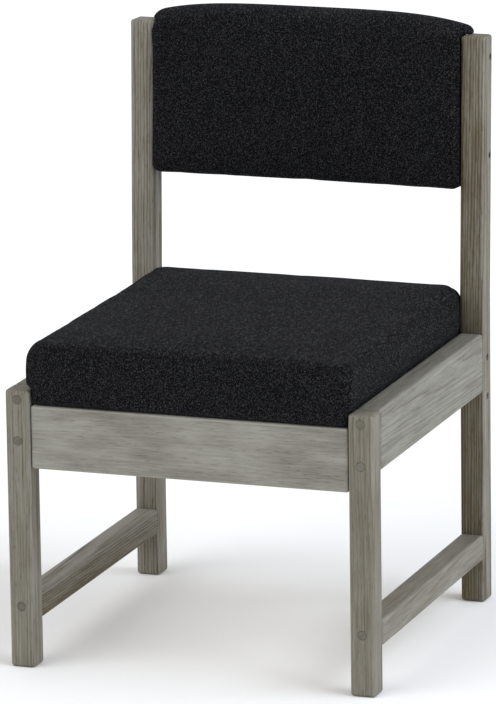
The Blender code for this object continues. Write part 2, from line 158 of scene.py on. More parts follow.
class Shader:
    """A material and the nodes that are added to it."""

    def __init__(self, name):
        self.material = bpy.data.materials.new(name)
        self.material.use_nodes = True
        self.tree = self.material.node_tree
        self.tree.nodes.clear()

    def node(self, kind, settings=None, sockets=None, output=0):
        """Adds a node of this type with these settings, and fills its sockets with values or links."""
        made = self.tree.nodes.new(kind)
        for name, value in (settings or {}).items():
            if name == "stops":
                ramp = made.color_ramp
                while len(ramp.elements) < len(value):
                    ramp.elements.new(1.0)
                for element, (place, level) in zip(ramp.elements, value):
                    element.position = place
                    element.color = (level, level, level, 1.0)
            else:
                setattr(made, name, value)
        filled = sockets if isinstance(sockets, dict) else dict(enumerate(sockets or []))
        for name, value in filled.items():
            if isinstance(value, Value):
                self.tree.links.new(value.socket, made.inputs[name])
            else:
                made.inputs[name].default_value = value
        return Value(self, made.outputs[output]) if made.outputs else None

    def math(self, operation, *values):
        """A Math node on these values."""
        return self.node("ShaderNodeMath", {"operation": operation}, values)

    def vector(self, operation, first, second):
        """A Vector Math node on two vectors."""
        return self.node("ShaderNodeVectorMath", {"operation": operation}, [first, second])

    def place(self, centre=(0, 0, 0)):
        """Object coordinates, measured from centre."""
        found = self.node("ShaderNodeTexCoord", output="Object")
        return self.vector("SUBTRACT", found, tuple(centre))

    def split(self, vector):
        """The vector's three numbers."""
        x = self.node("ShaderNodeSeparateXYZ", sockets=[vector])
        return [x, x.out("Y"), x.out("Z")]

    def noise(self, vector, scale, detail=2.0, roughness=0.5, shift=(0, 0, 0)):
        """Noise about 0, mostly within 0.3 either way, with its own scale along each axis."""
        moved = self.vector("ADD", vector, shift)
        scaled = self.vector("MULTIPLY", moved, scale)
        sockets = {"Vector": scaled, "Scale": 1.0, "Detail": detail, "Roughness": roughness}
        return self.node("ShaderNodeTexNoise", sockets=sockets) - 0.5

    def mix(self, factor, first, second):
        """A colour from first, at factor 0, to second, at factor 1."""
        settings = {"data_type": "RGBA", "clamp_factor": True}
        return self.node("ShaderNodeMix", settings, {0: factor, 6: first, 7: second}, output=2)

    def bump(self, height, distance, strength, normal=None):
        """A normal from a height field, whose full step is distance in metres."""
        sockets = {"Height": height, "Distance": distance, "Strength": strength}
        if normal:
            sockets["Normal"] = normal
        return self.node("ShaderNodeBump", sockets=sockets)

    def finish(self, sockets):
        """The finished material, which shows a Principled shader with these sockets."""
        surface = self.node("ShaderNodeBsdfPrincipled", sockets=sockets)
        self.node("ShaderNodeOutputMaterial", sockets={"Surface": surface})
        return self.material


def opaque(colour, tone=1.0):
    """A colour, made lighter by tone, as a colour socket takes it."""
    return (*[value * tone for value in colour], 1.0)


# Finishes


class Stick(NamedTuple):
    """A stick's place in its log. Pith and tilt are along the two axes across the grain."""

    along: int  # axis of the grain
    pith: tuple  # from the stick's middle to the pith, in metres
    tilt: tuple  # how far the pith leans, per metre of length
    stain: float = 0.4  # how dark the whole stick is
    fade: tuple = ()  # painted shade: how much darker its far faces are made where less light falls, and lighter where more falls: across, and then along
    ring: float = 0.0040  # width of a year's growth, in metres
    waver: float = 0.008  # how far the rings wander, in metres
    grain: float = 0.32  # how much the rings darken the wood
    cloud: float = 0.5  # unevenness of the stain
    pores: float = 0.22  # short dark dashes along the grain
    streak: float = 0.7  # long dark dashes along the grain
    warm: float = 1.0  # how brown its grain is, from 0, grey
    wear: float = 0.22  # painted highlight: how much lighter its long edges are


def solid_wood(name, stick, seed, box, look):
    """Wood with growth rings right through the stick, so that every face shows its own cut.

    The rings are shells around a pith line that runs roughly along the stick. The distance from that
    line, warped by slow noise, is divided by the ring width, and the fraction of a ring sets how dark
    the wood is: it darkens slowly through each ring and drops at its end. Fine noise, drawn out along
    the stick, adds the fibres, and broad noise the clouds of the stain. Painted shade makes faces
    darker where less light falls, and lighter where more falls, by the cube of the distance from the
    stick's middle, and a painted highlight makes the long edges lighter.
    """
    highlight_from, highlight_to = 0.0045, 0.0005  # distances from the faces over which the painted highlight on the edges grows, in metres
    eased_edge = 0.0028  # rounding that the shading gives the edges, in metres
    low, high = box
    centre, half = (low + high) / 2, (high - low) / 2
    along, pith, tilt = stick.along, stick.pith, stick.tilt
    across = [axis for axis in range(3) if axis != along]
    shader = Shader(name)
    place = shader.place(centre)
    parts = shader.split(place)
    if high[2] > 2 * FRAME_TOP:  # a post, whose grain leans with it above the bend
        bend = BEND_HEIGHT - centre[2]
        parts[1] = parts[1] - (parts[2].math("MAXIMUM", bend) - bend) * math.tan(LEAN)
    first, second = (parts[axis] for axis in across)
    length = parts[along]
    shift = (seed * 0.37, seed * 0.61, seed * 0.83)

    def stretched(fine, long):
        """A scale for noise: long along the grain, and fine across it."""
        return tuple(long if axis == along else fine for axis in range(3))

    drift = shader.noise(place, stretched(9.0, 2.6), 2.0, 0.45, shift) * stick.waver
    ripple = shader.noise(place, stretched(70.0, 7.0), 2.0, 0.5, shift) * stick.waver * 0.12
    years = shader.noise(place, stretched(150.0, 1.2), 1.0, 0.5, shift) * (1.1 * stick.ring)
    side = first - pith[0] - length * tilt[0]
    depth = second - pith[1] - length * tilt[1]
    radius = (side * side + depth * depth).math("SQRT") + drift + ripple + years
    through = (radius / stick.ring).math("FRACT")
    darkness = [(0.0, 0.0), (0.46, 0.06), (0.70, 0.40), (0.85, 1.0), (0.95, 0.7), (1.0, 0.0)]
    late = shader.node("ShaderNodeValToRGB", {"stops": darkness}, [through])
    uneven = shader.noise(place, stretched(150.0, 3.0), 2.0, 0.5, shift)
    fibre = shader.noise(place, stretched(900.0, 20.0), 3.0, 0.6, shift)
    streak = shader.noise(place, stretched(260.0, 6.0), 2.0, 0.55, shift)
    cloud = shader.noise(place, stretched(38.0, 11.0), 3.0, 0.55, shift)
    pore = shader.noise(place, stretched(680.0, 75.0), 1.0, 0.5, shift).above(0.08, 0.22)
    grain = late * (0.75 + uneven * 1.8)
    # Painted highlight: the long edges, within a few millimetres of two faces, are made lighter.
    rims = [abs(parts[axis]).above(half[axis] - highlight_from, half[axis] - highlight_to) for axis in across]
    edge = rims[0] * rims[1]
    shade = stick.grain * grain + stick.pores * pore + stick.cloud * cloud + stick.stain
    shade = shade + 0.9 * fibre + stick.streak * streak - stick.wear * edge
    # Painted shade: faces are made darker where less light falls and lighter where more falls, by the
    # cube of the distance from the middle.
    for axis, darker in zip((*across, along), stick.fade):
        if darker:
            shade = shade + darker * (parts[axis] / half[axis]) ** 3
    dark = np.array(look.grey) + stick.warm * (np.array(look.dark) - np.array(look.grey))
    normal = shader.node("ShaderNodeBevel", {"samples": 4}, {"Radius": eased_edge})
    relief = grain * -0.6 - pore * 0.5 - fibre - streak * 0.5
    return shader.finish(
        {
            "Base Color": shader.mix(shade, opaque(look.light), opaque(dark)),
            "Roughness": 0.58 + 0.10 * grain + 0.25 * fibre,
            "Normal": shader.bump(relief, 0.00022, 0.5, normal),
            "Specular IOR Level": 0.35,
        }
    )


def plug_end_grain(name, look, heights):
    """End grain on the plugs' faces: short dark flecks, and a line where a plug meets its hole.

    The line follows the distance from the middle of the nearest plug.
    """
    line_from, line_to = 0.0046, 0.0059  # distances from a plug's middle, in metres
    shader = Shader(name)
    place = shader.place()
    x, _, z = shader.split(place)
    side = abs(x) - LEG_X
    nearest, *others = (abs(z - height) for height in heights)
    for gap in others:
        nearest = nearest.math("MINIMUM", gap)
    radius = (side * side + nearest * nearest).math("SQRT")
    rim = radius.above(line_from, line_to)
    fleck = shader.noise(place, (700.0, 60.0, 700.0), 3.0, 0.6)
    arc = shader.noise(place, (90.0, 60.0, 420.0), 2.0, 0.5)
    tone = shader.noise(place, (23.0, 23.0, 23.0), 0.0)
    shade = 0.40 + 0.9 * fleck + 1.2 * arc + 0.7 * tone + (0.1 + arc) * rim
    return shader.finish(
        {
            "Base Color": shader.mix(shade, opaque(look.plug_light), opaque(look.plug_dark)),
            "Roughness": 0.72,
            "Normal": shader.bump(fleck - rim, 0.0002, 0.5),
            "Specular IOR Level": 0.3,
        }
    )


def bare_board(name, colours, fine, seed):
    """Unstained wood or veneer: noise drawn out along Y for the figure, and finer for the fibres."""
    shader = Shader(name)
    place = shader.place()
    shift = (seed, seed * 0.7, seed * 1.3)
    figure = shader.noise(place, (fine, 3.0, fine), 3.0, 0.5, shift)
    fibre = shader.noise(place, (700.0, 14.0, 700.0), 2.0, 0.5, shift)
    shade = 0.5 + 1.3 * figure + 0.6 * fibre
    return shader.finish(
        {
            "Base Color": shader.mix(shade, opaque(colours[0]), opaque(colours[1])),
            "Roughness": 0.65 + 0.2 * fibre,
            "Normal": shader.bump(fibre, 0.0001, 0.4),
        }
    )


def worn_steel(name, colours):
    """Darkened steel with faint scratches and worn patches."""
    shader = Shader(name)
    place = shader.place()
    patch = shader.noise(place, (420.0, 420.0, 420.0), 3.0, 0.6)
    scratch = shader.noise(place, (160.0, 1800.0, 1800.0), 2.0, 0.5)
    return shader.finish(
        {
            "Base Color": shader.mix(0.5 + patch, opaque(colours[0]), opaque(colours[1])),
            "Metallic": 0.85,
            "Roughness": 0.42 + 0.3 * patch,
            "Normal": shader.bump(scratch, 0.00004, 0.5),
        }
    )


def heather_fabric(name, look, seat_top):
    """Felted heather cloth: light and dark fibres mixed in flecks, over a faint crossed weave.

    Three scales of noise make the flecks, turned so that no face lies flat in the noise's own grid.
    They are drawn out from front to rear as a nap is, and most on the seat's top and above it. The
    weave is the sum of the products of sine waves along each two of the three axes.
    """
    shader = Shader(name)
    place = shader.place()

    def flecks(depth):
        """Noise about 0 whose flecks are drawn out along Y, to 1 / depth of their width."""
        drawn = shader.vector("MULTIPLY", place, (1.0, depth, 1.0))
        sockets = {"Vector": drawn, "Rotation": (0.6, 0.5, 0.7)}
        skewed = shader.node("ShaderNodeVectorRotate", {"rotation_type": "EULER_XYZ"}, sockets)
        size = np.ones(3) / look.fleck
        fleck = shader.noise(skewed, tuple(size), 2.0, 0.6)
        tuft = shader.noise(skewed, tuple(size * 0.42), 2.0, 0.5, (3.1, 1.7, 4.4))
        hair = shader.noise(skewed, tuple(size * 2.5), 2.0, 0.6, (1.3, 5.2, 2.6))
        return fleck + 0.2 * tuft + 0.4 * hair

    parts = shader.split(place)
    beside, nap = flecks(0.35), flecks(0.2)
    fibres = beside + parts[2].above(seat_top - 0.012, seat_top) * (nap - beside)
    cloud = shader.noise(place, (11.0, 11.0, 11.0), 3.0, 0.5)
    pitch = 2 * math.pi / look.thread
    wave = [(part * pitch).math("SINE") for part in parts]
    weave = wave[0] * wave[1] + wave[1] * wave[2] + wave[2] * wave[0]
    mixed = 0.50 + 3.8 * fibres + 0.15 * cloud + 0.04 * weave
    shade = mixed.above(0.0, 1.4) ** 1.9
    height = fibres + 0.12 * weave
    return shader.finish(
        {
            "Base Color": shader.mix(shade, opaque(look.dark), opaque(look.light)),
            "Roughness": 0.92,
            "Normal": shader.bump(height, 0.0011, 0.7),
            "Specular IOR Level": 0.06,
            "Sheen Weight": look.sheen,
            "Sheen Roughness": 0.45,
            "Sheen Tint": opaque((0.80, 0.80, 0.84)),
        }
    )


# Surfaces


def quads(ids):
    """The four-sided faces between neighbours in a grid of point numbers."""
    corners = [ids[:-1, :-1], ids[1:, :-1], ids[1:, 1:], ids[:-1, 1:]]
    return np.stack(corners, axis=-1).reshape(-1, 4)


def box_grid(xs, ys, zs):
    """The surface of a box as a grid: a point for each crossing of the three lists of values that
    lies on the outside, and the four-sided faces between them, which point outwards."""
    shape = (len(xs), len(ys), len(zs))
    index = np.indices(shape)
    last = np.array(shape).reshape(3, 1, 1, 1) - 1
    outside = ((index == 0) | (index == last)).any(axis=0)
    ids = np.full(shape, -1)
    ids[outside] = np.arange(outside.sum())
    points = np.stack(np.meshgrid(xs, ys, zs, indexing="ij"), axis=-1)[outside]
    faces = []
    for axis in range(3):
        for end, outward in ((0, False), (-1, True)):
            side = quads(np.take(ids, end, axis=axis))
            faces.append(side[:, ::-1] if outward == (axis == 1) else side)
    return points, np.concatenate(faces)


def eased(low, high, count, ease=0.55):
    """Values from low to high that lie closer together towards both ends."""
    t = np.linspace(0.0, 1.0, count)
    return low + (high - low) * ((1 - ease) * t + ease * (0.5 - 0.5 * np.cos(np.pi * t)))


def step(values, low, high):
    """0 below low, 1 above high, and a smooth cubic step between."""
    t = np.clip((values - low) / (high - low), 0.0, 1.0)
    return t * t * (3 - 2 * t)


def round_corners(points, plane, low, high, radius):
    """Rounds the corners of a box's outline in a plane, given by two axes: the square in each corner
    becomes a quarter disc, as each of its points is drawn in along its line to the square's inner
    corner, by the longer of its two sides over their diagonal. A point may have its own radius."""
    flat = points[:, plane]
    radius = np.reshape(radius, (-1, 1))
    inner = np.clip(flat, low[plane] + radius, high[plane] - radius)
    offset = flat - inner
    longer = np.abs(offset).max(axis=1, keepdims=True)
    length = np.linalg.norm(offset, axis=1, keepdims=True)
    drawn = points.copy()
    drawn[:, plane] = inner + offset * longer / np.maximum(length, TINY)
    return drawn


def edge_inset(depth, reach, width):
    """How far a rounded edge lies inside the outline at a depth below the face: a quarter ellipse
    that starts at width, on the face, and meets the outline at reach."""
    t = 1 - np.clip(depth / reach, 0.0, 1.0)
    return width * (1 - np.sqrt(1 - t**2))


def soft_waves(points, seed, size=0.11, count=9):
    """Slow unevenness between about -1 and 1: a sum of sine waves in seeded directions."""
    random = np.random.default_rng(seed)
    direction = random.normal(size=(3, count))
    pitch = (2 * np.pi / size) / np.linalg.norm(direction, axis=0)
    direction *= pitch * random.uniform(0.6, 1.5, count)
    start = random.uniform(0, 2 * np.pi, count)
    return np.sin(points @ direction + start).sum(axis=1) / (count / 2)


def seat_surface(seat):
    """The seat before it swells, and which of its points are on its underside.

    It is a box with rounded corners, rounder at the top in front, whose upper edges are quarter
    ellipses, longest at the rear. It is drawn in at the bottom, runs over the apron and the side
    rails above the frame, and stays between the posts at the rear. Its top is crowned by 1 - x^2
    across and rises a little to the rear.
    """
    corner, front_extra = 0.009, 0.010
    front_overhang, rear_rise = 0.0035, 0.003
    drawn_in_sides, drawn_in_ends = 0.001, 0.002
    half = LEG_INSIDE - CUSHION_FIT
    low = np.array([-half, FRONT_Y, APRON_TOP + SLIT])
    high = np.array([half, SEAT_REAR_Y, FRAME_TOP + seat.rise])
    xs = eased(low[0], high[0], count=84)
    ys = eased(low[1], high[1], count=96)
    turn = np.linspace(0.0, np.pi / 2, 11)
    shoulder = high[2] - seat.edge
    zs = np.concatenate(
        [
            np.linspace(low[2], FRAME_TOP - 0.001, 6),  # within the frame
            FRAME_TOP + np.array([0.0007, 0.0025, 0.005, 0.009]),  # where it spreads over the rails
            np.linspace(FRAME_TOP + 0.015, shoulder, 4),
            (shoulder + seat.edge * np.sin(turn))[1:],  # round the upper edge
        ]
    )
    points, faces = box_grid(xs, ys, zs)
    under = points[:, 2] < low[2] + SAME
    on_top = points[:, 2] > high[2] - SAME
    front_top = step(points[:, 2], shoulder - 0.012, high[2]) * (points[:, 1] < 0)
    points = round_corners(points, [0, 1], low, high, corner + front_extra * front_top)
    x, y, z = points.T  # views, which follow each move
    foot = edge_inset(z - low[2], reach=0.004, width=0.003)
    depth = high[2] - z
    along = (y - low[1]) / (high[1] - low[1])
    x *= 1 - (edge_inset(depth, seat.edge, 0.6 * seat.edge) + foot) / half
    y += (edge_inset(depth, seat.edge, 0.95 * seat.edge) + 2 * foot) * (1 - along)
    y -= (edge_inset(depth, 2.2 * seat.edge, 1.6 * seat.edge) + foot) * along
    across, along = x / half, 2 * along - 1
    up = step(z, FRAME_TOP + 0.0002, FRAME_TOP + 0.010)
    free = 1 - step(y, POST_FRONT_Y - 0.014, POST_FRONT_Y - 0.002)
    tuck = 1 - step(z, low[2], low[2] + 0.012)
    x += across * (seat.overhang * up * free - drawn_in_sides * tuck)
    y += along * (np.where(along < 0, front_overhang, 0.0) * up - drawn_in_ends * tuck)
    z += on_top * (seat.crown * (1 - across**2) + rear_rise * step(along, 0.2, 0.9))
    return points, faces, under


def back_surface(back):
    """The back before it swells, in the posts' leaning frame.

    It is a box between the posts with rounded corners, the upper left one rounder, whose front edges
    are quarter ellipses, longest at the top. It spreads over the posts' fronts, and over their tops,
    whose rounded edges it follows. Its front is full by 1 - x^4 and 1 - z^4, and its upper edge drops
    towards its ends by x^4.
    """
    corner, rounder = 0.009, 0.0165
    half = LEG_INSIDE - CUSHION_FIT
    low = np.array([-half, -LEG / 2 - back.proud, BACK_BOTTOM - BEND_HEIGHT])
    high = np.array([half, BACK_REAR, BACK_TOP - back.droop - BEND_HEIGHT])
    xs = eased(low[0], high[0], count=88)
    ys = low[1] + (high[1] - low[1]) * np.linspace(0.0, 1.0, 20) ** 1.6
    post_top = POST_TOP - BEND_HEIGHT
    zs = np.concatenate(
        [
            eased(low[2], 2 * post_top - low[2], count=89)[:44],  # below the posts' tops
            post_top + np.array([-0.0045, -0.003, -0.0018, -0.0008]),  # beside their rounded edges
            post_top + np.array([0.0002, 0.0005, 0.0014, 0.003, 0.005]),  # where it spreads over them
            np.linspace(post_top + 0.007, high[2], 3),
        ]
    )
    points, faces = box_grid(xs, ys, zs)
    in_front = points[:, 1] < low[1] + SAME
    upper_left = (points[:, 0] < 0) & (points[:, 2] > 0.5 * (low[2] + high[2]))
    points = round_corners(points, [0, 2], low, high, np.where(upper_left, rounder, corner))
    x, y, z = points.T  # views, which follow each move
    depth = y - low[1]
    up = (z - low[2]) / (high[2] - low[2])
    rear = edge_inset(high[1] - y, reach=0.003, width=0.0015)
    x *= 1 - (edge_inset(depth, back.edge, width=0.017) + rear) / half
    z += (edge_inset(depth, back.edge, width=0.011) + rear) * (1 - up)
    z -= (edge_inset(depth, reach=0.030, width=back.shoulder) + rear) * up
    across = x / half
    ahead = 1 - step(y, -LEG / 2 - 0.007, -LEG / 2 - 0.0005)
    behind = step(y, -LEG / 2, LEG / 2 - 0.012)
    above = step(z, post_top + 0.0002, post_top + 0.0005)
    over = np.maximum(back.lip * above, edge_inset(post_top - z, POST_EDGE, POST_EDGE))
    x += across * np.maximum(back.overhang * ahead, over * behind)
    y -= in_front * back.belly * (1 - across**4) * (1 - (2 * up - 1) ** 4)
    drop = np.minimum(across**4, 1.0)
    z += np.maximum(2 * up - 1, 0) * (back.crown + back.droop) * (1 - drop)
    return points, faces


def new_piece(name, points, faces, material):
    """A smooth mesh object at the origin."""
    mesh = bpy.data.meshes.new(name)
    mesh.from_pydata(points, [], faces.tolist())
    mesh.shade_smooth()
    mesh.materials.append(material)
    piece = bpy.data.objects.new(name, mesh)
    bpy.context.scene.collection.objects.link(piece)
    return piece


def swollen(piece, frames, pressure):
    """Where the piece's points come to lie after a short cloth simulation with air inside."""
    cloth = piece.modifiers.new("Swell", "CLOTH")
    settings = cloth.settings
    settings.quality = 4
    settings.mass = 0.3
    settings.tension_stiffness = settings.compression_stiffness = 25
    settings.shear_stiffness = 12
    settings.bending_stiffness = 1.5
    settings.air_damping = 3
    settings.use_pressure = True
    settings.uniform_pressure_force = pressure
    settings.effector_weights.gravity = 0
    cloth.collision_settings.use_collision = False
    cloth.point_cache.frame_start = 1
    cloth.point_cache.frame_end = frames
    scene = bpy.context.scene
    for number in range(1, frames + 1):
        scene.frame_set(number)
    shown = piece.evaluated_get(bpy.context.evaluated_depsgraph_get())
    points = np.empty(len(shown.data.vertices) * 3, np.float32)
    shown.data.vertices.foreach_get("co", points)
    piece.modifiers.remove(cloth)
    scene.frame_set(1)
    return points.reshape(-1, 3).astype(float)


def puff(piece, rest, freedom, soft):
    """Where the piece's points lie once it is swollen: the simulation's moves are scaled together so
    that hardly any is longer than the cap, the few that are get cut to it, and each point takes its
    move times its freedom."""
    move = swollen(piece, soft.frames, soft.pressure) - rest
    length = np.linalg.norm(move, axis=1, keepdims=True)
    kept = np.minimum(soft.cap / np.percentile(length, 95), soft.cap / np.maximum(length, TINY))
    return rest + move * kept * freedom[:, None]


def set_points(piece, points):
    """Moves the piece's points."""
    piece.data.vertices.foreach_set("co", points.astype(np.float32).ravel())
    piece.data.update()


def subdivide(piece):
    """Rounds the piece with one step of subdivision."""
    smooth = piece.modifiers.new("Smooth", "SUBSURF")
    smooth.levels = smooth.render_levels = 1


# Settings


class WoodSettings(bpy.types.PropertyGroup):
    """Colours of the stained wood and its plugs."""

    light: FloatVectorProperty(
        name="Light wood",
        description="Stained wood between its rings",
        subtype="COLOR",
        min=0.0,
        max=1.0,
        default=(0.270, 0.263, 0.230),
    )
    dark: FloatVectorProperty(
        name="Dark wood",
        description="Stained wood at the end of a ring",
        subtype="COLOR",
        min=0.0,
        max=1.0,
        default=(0.070, 0.051, 0.020),
    )
    grey: FloatVectorProperty(
        name="Grey wood",
        description="Stained wood at the end of a ring, on the greyer pieces",
        subtype="COLOR",
        min=0.0,
        max=1.0,
        default=(0.070, 0.066, 0.048),
    )
    plug_light: FloatVectorProperty(
        name="Light plug",
        description="Light end grain of the plugs",
        subtype="COLOR",
        min=0.0,
        max=1.0,
        default=(0.156, 0.144, 0.118),
    )
    plug_dark: FloatVectorProperty(
        name="Dark plug",
        description="Dark end grain of the plugs and the line round them",
        subtype="COLOR",
        min=0.0,
        max=1.0,
        default=(0.080, 0.069, 0.050),
    )


class FabricSettings(bpy.types.PropertyGroup):
    """The cushions' cloth."""

    dark: FloatVectorProperty(
        name="Dark fibre",
        description="Darkest fibres of the cloth",
        subtype="COLOR",
        min=0.0,
        max=1.0,
        default=(0.0010, 0.0010, 0.0013),
    )
    light: FloatVectorProperty(
        name="Light fibre",
        description="Lightest fibres of the cloth",
        subtype="COLOR",
        min=0.0,
        max=1.0,
        default=(0.043, 0.043, 0.046),
    )
    fleck: FloatProperty(
        name="Fleck",
        description="Size of the light and dark flecks",
        unit="LENGTH",
        precision=4,
        default=0.0016,
    )
    thread: FloatProperty(
        name="Thread",
        description="Spacing of the weave",
        unit="LENGTH",
        precision=4,
        default=0.0018,
    )
    sheen: FloatProperty(
        name="Sheen",
        description="Light caught by the fuzz",
        min=0.0,
        max=1.0,
        default=0.022,
    )


class SoftSettings:
    """What both cushions are swollen with."""

    frames: IntProperty(
        name="Frames",
        description="Length of the cloth simulation",
        min=2,
        default=20,
    )
    pressure: FloatProperty(
        name="Pressure",
        description="Air pressure inside the cushion",
        default=4.0,
    )
    cap: FloatProperty(
        name="Cap",
        description="Furthest that a point may move",
        unit="LENGTH",
        precision=4,
        default=0.006,
    )


class SeatSettings(SoftSettings, bpy.types.PropertyGroup):
    """Form of the seat cushion."""

    rise: FloatProperty(
        name="Rise",
        description="Top of the seat at its edges, above the side rails",
        unit="LENGTH",
        precision=4,
        default=0.0640,
    )
    edge: FloatProperty(
        name="Upper edge",
        description="Rounding of the seat's upper edges",
        unit="LENGTH",
        precision=4,
        default=0.021,
    )
    crown: FloatProperty(
        name="Crown",
        description="Rise of the seat's middle above its edges, before it swells",
        unit="LENGTH",
        precision=4,
        default=0.001,
    )
    overhang: FloatProperty(
        name="Overhang",
        description="Reach of the seat over the side rails",
        unit="LENGTH",
        precision=4,
        default=0.0075,
    )


class BackSettings(SoftSettings, bpy.types.PropertyGroup):
    """Form of the back cushion."""

    proud: FloatProperty(
        name="Proud",
        description="Front of the back, in front of the posts",
        unit="LENGTH",
        precision=4,
        default=0.0095,
    )
    edge: FloatProperty(
        name="Front edge",
        description="Rounding of the back's front edges",
        unit="LENGTH",
        precision=4,
        default=0.012,
    )
    crown: FloatProperty(
        name="Crown",
        description="Rise of the upper edge between its ends",
        unit="LENGTH",
        precision=4,
        default=0.0135,
    )
    droop: FloatProperty(
        name="Droop",
        description="Drop of the upper edge's ends below the CAD solid's",
        unit="LENGTH",
        precision=4,
        default=0.0033,
    )
    lip: FloatProperty(
        name="Lip",
        description="Reach of the back over the posts' tops",
        unit="LENGTH",
        precision=4,
        default=0.0119,
    )
    shoulder: FloatProperty(
        name="Shoulder",
        description="Height of the rounding from the front face to the upper edge",
        unit="LENGTH",
        precision=4,
        default=0.021,
    )
    belly: FloatProperty(
        name="Belly",
        description="Fullness of the front face",
        unit="LENGTH",
        precision=4,
        default=0.002,
    )
    overhang: FloatProperty(
        name="Overhang",
        description="Reach of the back over the posts' fronts",
        unit="LENGTH",
        precision=4,
        default=0.0083,
    )


class StageSettings(bpy.types.PropertyGroup):
    """Floor, light and camera."""

    floor: FloatVectorProperty(
        name="Floor",
        description="Colour of the floor",
        subtype="COLOR",
        min=0.0,
        max=1.0,
        default=(0.92, 0.92, 0.92),
    )
    sky: FloatProperty(
        name="Sky",
        description="Even light from all round",
        default=0.70,
    )
    key: FloatProperty(
        name="Key light",
        description="Soft light from the right",
        default=2.1,
    )
    fill: FloatProperty(
        name="Fill light",
        description="Soft light from the front left",
        default=0.95,
    )
    softness: FloatProperty(
        name="Softness",
        description="How wide the key and fill lights are in the sky",
        unit="ROTATION",
        default=math.radians(50),
    )
    camera: FloatVectorProperty(
        name="Camera",
        description="Where the camera stands",
        subtype="TRANSLATION",
        unit="LENGTH",
        default=(2.75058, -7.68041, 2.3585),
    )
    aim: FloatVectorProperty(
        name="Aim",
        description="Turn to the left, tilt down and roll of the camera",
        subtype="EULER",
        unit="ROTATION",
        default=(math.radians(19.75455), math.radians(13.53955), math.radians(-0.81101)),
    )
    focal_pixels: FloatProperty(
        name="Focal length",
        description="Focal length in pixels of the photograph",
        default=6146.9,
    )


# Operators


def coat(nodes, material):
    """Gives CAD nodes a material."""
    for name in nodes:
        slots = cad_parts[name].data.materials
        slots.clear()
        slots.append(material)


def straight_box(name):
    """A node's corners, with a post's taken below its bend."""
    low, high = (np.array(corner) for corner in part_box(name))
    if name.startswith("rear_post"):
        high[1] = POST_REAR_Y
    return low, high


class CHAIR_OT_wooden_frame(bpy.types.Operator):
    """Stained wood on legs, posts, rails, stretchers and aprons, each from its own place in a log"""

    bl_idname = "chair.wooden_frame"
    bl_label = "Wooden frame"

    def execute(self, context):
        x, y, z = range(3)
        # Kinds of figure that several sticks share
        broad = {"ring": 0.0034, "waver": 0.006, "grain": 0.38, "warm": 0.3}
        cloudy = {"ring": 0.0052, "waver": 0.030, "grain": 0.08, "cloud": 1.2, "pores": 0.26}
        # The aprons' long edges get a stronger painted highlight.
        cloudy |= {"streak": 0.18, "warm": 0.3, "wear": 0.55}
        bold = {"ring": 0.0042, "grain": 0.62}
        even = {"pores": 0.14, "streak": 0.4}
        # The tuple after the stain is painted shade, by where light falls: the left post's inner face
        # is darker; the right post's outer face and top are lighter, its inner face and foot darker;
        # the left stretcher's inner face and underside are darker, its top lighter; the front apron
        # darkens towards its right end.
        sticks = {
            "front_leg_left": Stick(z, (0.085, 0.026), (0.004, 0.004), 0.45, grain=0.34),
            "front_leg_right": Stick(z, (-0.090, 0.030), (-0.006, 0.006), 0.54, grain=0.18, **even),
            "rear_post_left": Stick(z, (-0.080, 0.022), (0.006, 0.004), 0.37, (0.14,), **bold),
            "rear_post_right": Stick(
                z, (0.090, -0.020), (0.004, -0.005), 0.66, (-0.19, 0, -0.06), **bold
            ),
            "side_rail_left": Stick(y, (0.045, 0.030), (0.010, -0.020), 0.36, **broad),
            "side_rail_right": Stick(y, (-0.045, 0.030), (0.010, -0.012), 0.36, **broad),
            "side_stretcher_left": Stick(
                y, (0.020, 0.160), (0.020, -0.010), 0.36, (0.30, -0.33), **bold
            ),
            "side_stretcher_right": Stick(
                y, (-0.085, -0.010), (0.015, -0.010), 0.46, grain=0.17, **even
            ),
            "front_apron": Stick(x, (0.024, 0.085), (0.010, -0.010), 0.25, (0, 0, 0.05), **cloudy),
            "rear_apron": Stick(x, (-0.030, 0.075), (0.010, 0.020), 0.28, **cloudy),
        }
        look = context.scene.chair_wood
        for seed, (name, stick) in enumerate(sticks.items(), 1):
            coat([name], solid_wood("stained_" + name, stick, seed, straight_box(name), look))
        return {"FINISHED"}


class CHAIR_OT_hidden_wood(bpy.types.Operator):
    """Bare wood and plywood on what the seat and back hide"""

    bl_idname = "chair.hidden_wood"
    bl_label = "Hidden wood"

    def execute(self, context):
        pine = ((0.56, 0.42, 0.25), (0.36, 0.25, 0.13))
        birch = ((0.60, 0.47, 0.30), (0.44, 0.32, 0.18))
        cleats = ["seat_cleat_left", "seat_cleat_right"]
        coat(cleats, bare_board("planed_pine", pine, fine=90.0, seed=2.0))
        coat(["seat_board", "back_board"], bare_board("plywood_face", birch, fine=26.0, seed=5.0))
        dowels = [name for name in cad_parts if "dowel" in name]
        coat(dowels, bare_board("dowel_beech", birch, fine=160.0, seed=7.0))
        return {"FINISHED"}


class CHAIR_OT_fasteners(bpy.types.Operator):
    """End grain on the plugs, and blackened or greyed steel on the screws"""

    bl_idname = "chair.fasteners"
    bl_label = "Plugs and screws"

    def execute(self, context):
        plugs = [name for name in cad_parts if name.endswith("_plug")]
        heights = sorted({round(sum(corner.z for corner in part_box(name)) / 2, 5) for name in plugs})
        coat(plugs, plug_end_grain("plug_end_grain", context.scene.chair_wood, heights))
        black = ((0.030, 0.029, 0.028), (0.075, 0.072, 0.068))
        grey = ((0.110, 0.105, 0.095), (0.200, 0.190, 0.170))
        screws = [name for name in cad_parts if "screw" in name]
        pale = [name for name in screws if name.startswith("rear_apron")]
        coat([name for name in screws if name not in pale], worn_steel("blackened_steel", black))
        coat(pale, worn_steel("greyed_steel", grey))
        return {"FINISHED"}


def chair_fabric(context):
    """The cushions' cloth, made once."""
    name = "charcoal_heather"
    seat_top = FRAME_TOP + context.scene.chair_seat.rise
    made = bpy.data.materials.get(name)
    return made or heather_fabric(name, context.scene.chair_fabric, seat_top)


